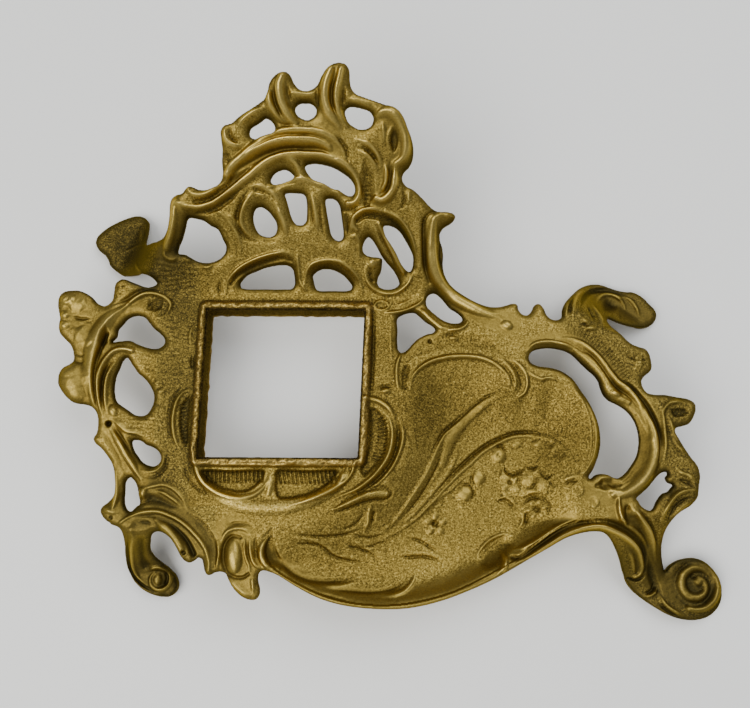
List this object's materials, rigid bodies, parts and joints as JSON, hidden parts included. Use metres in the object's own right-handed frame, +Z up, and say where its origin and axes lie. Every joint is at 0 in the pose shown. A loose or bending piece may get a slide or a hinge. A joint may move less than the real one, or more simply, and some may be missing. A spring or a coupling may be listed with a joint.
{
  "type": "inkstand",
  "caption": "Cast brass inkstand in rococo scrollwork: a square open collar for a glass ink pot, a dished pen tray, an openwork crest that leans back, and scroll feet.",
  "frame": {"origin": "centre of the bounding box in plan, on the surface that the feet stand on", "axes": "+X to the right seen from the front, +Y towards the crest at the back, +Z up"},
  "size_m": [0.2022, 0.1548, 0.0692],
  "materials": {
    "cast_brass": "aged cast brass, golden on the ridges and olive-brown in the hollows, fine sand-cast grain",
    "olive_brass": "the same brass with a darker olive patina, as on the legs and the back of the plate",
    "well_brass": "rough brass of the ink well's collar, bright along its filed rim and dark brown inside"
  },
  "bodies": {
    "root": {"well_collar": "well_brass", "front_apron": "cast_brass", "right_crescent": "cast_brass", "pen_tray": "cast_brass", "left_wing": "olive_brass", "left_gallery": "cast_brass", "left_lobes": "cast_brass", "front_left_scroll": "olive_brass", "front_shell": "cast_brass", "left_shoulder": "olive_brass", "left_stay": "cast_brass", "crest_base": "cast_brass", "crest_fan": "cast_brass", "crest_arch": "cast_brass", "crest_flames": "cast_brass", "crest_curl": "cast_brass", "crest_ring": "cast_brass", "right_bracket": "cast_brass", "tray_stay": "cast_brass", "handle_loop": "cast_brass", "handle_lobes": "olive_brass", "foot_back_left": "olive_brass", "foot_back_right": "olive_brass", "foot_front_left": "olive_brass", "foot_front_right": "olive_brass"}
  },
  "joints": []
}
